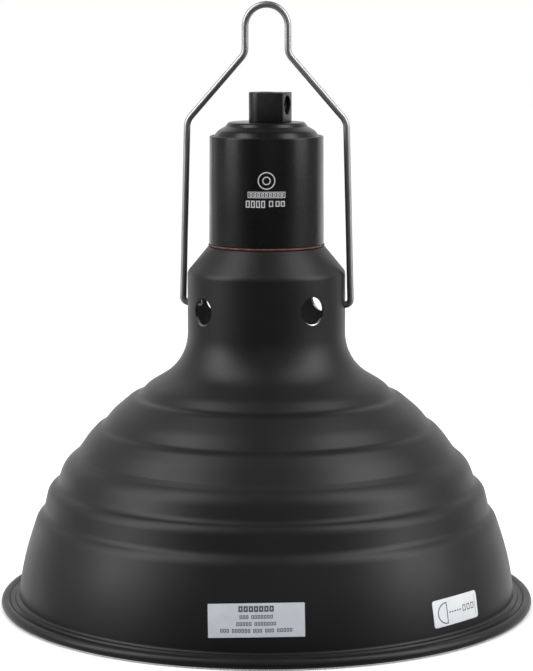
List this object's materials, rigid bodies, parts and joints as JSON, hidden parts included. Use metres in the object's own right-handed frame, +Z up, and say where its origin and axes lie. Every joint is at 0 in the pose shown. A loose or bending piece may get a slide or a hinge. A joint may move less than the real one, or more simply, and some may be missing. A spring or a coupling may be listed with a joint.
{
  "type": "heat lamp fixture",
  "caption": "Hanging heat lamp fixture: ribbed black dome with vented neck, wire bail, socket cover with cord grip, screw lampholder inside.",
  "frame": {"origin": "centre of the rim, in the plane that the rim stands on", "axes": "+Z up along the shade's axis towards the hanging loop, X along the bail's hinge"},
  "size_m": [0.254, 0.2538, 0.2858],
  "materials": {
    "shade_paint": "spun sheet with matte black powder coat outside, bare and satin inside and on cut edges",
    "bail_wire": "polished stainless wire",
    "cover_paint": "drawn sheet with satin black paint",
    "gasket": "dusty red-brown silicone",
    "zinc_steel": "bright zinc plate",
    "grip_nylon": "moulded black nylon, satin",
    "screw_nylon": "moulded black nylon",
    "porcelain": "white glaze",
    "nickel_brass": "nickel-plated brass sheet",
    "brass": "plain brass",
    "spring_steel": "bright spring steel",
    "label_silver": "satin silver foil label, blank",
    "label_white": "white film label, blank"
  },
  "bodies": {
    "fixture": {"shade": "shade_paint", "cover_sleeve": "cover_paint", "cover_cap": "cover_paint", "cover_gasket": "gasket", "cover_screws": "zinc_steel", "cover_lock_washers": "zinc_steel", "cover_nuts": "zinc_steel", "cord_grip": "grip_nylon", "clamp_screw": "screw_nylon", "threaded_stem": "zinc_steel", "cap_washer": "zinc_steel", "cap_locknut": "zinc_steel", "holder_yoke": "zinc_steel", "yoke_locknut": "zinc_steel", "holder_screws": "zinc_steel", "lampholder_body": "porcelain", "screw_shell": "nickel_brass", "shell_screws": "zinc_steel", "shell_nut": "zinc_steel", "neutral_terminal": "brass", "live_terminal": "brass", "terminal_screws": "brass", "contact_spring": "spring_steel", "earth_tag": "brass", "earth_screw": "zinc_steel", "caution_label": "label_silver", "distance_label": "label_white"},
    "bail": {"bail": "bail_wire"},
    "contact": {"contact_plunger": "brass", "plunger_clip": "spring_steel"}
  },
  "joints": [
    {"name": "bail_swing", "type": "hinge", "parent": "fixture", "child": "bail", "pos_m": [0, 0, 0.1438], "axis": [1, 0, 0], "range_deg": [-125, 125]},
    {"name": "contact_press", "type": "slide", "parent": "fixture", "child": "contact", "axis": [0, 0, 1], "range_m": [0, 0.002], "stiffness_N_per_m": 1500, "springref_m": -0.002, "deforming": ["contact_spring"]}
  ]
}
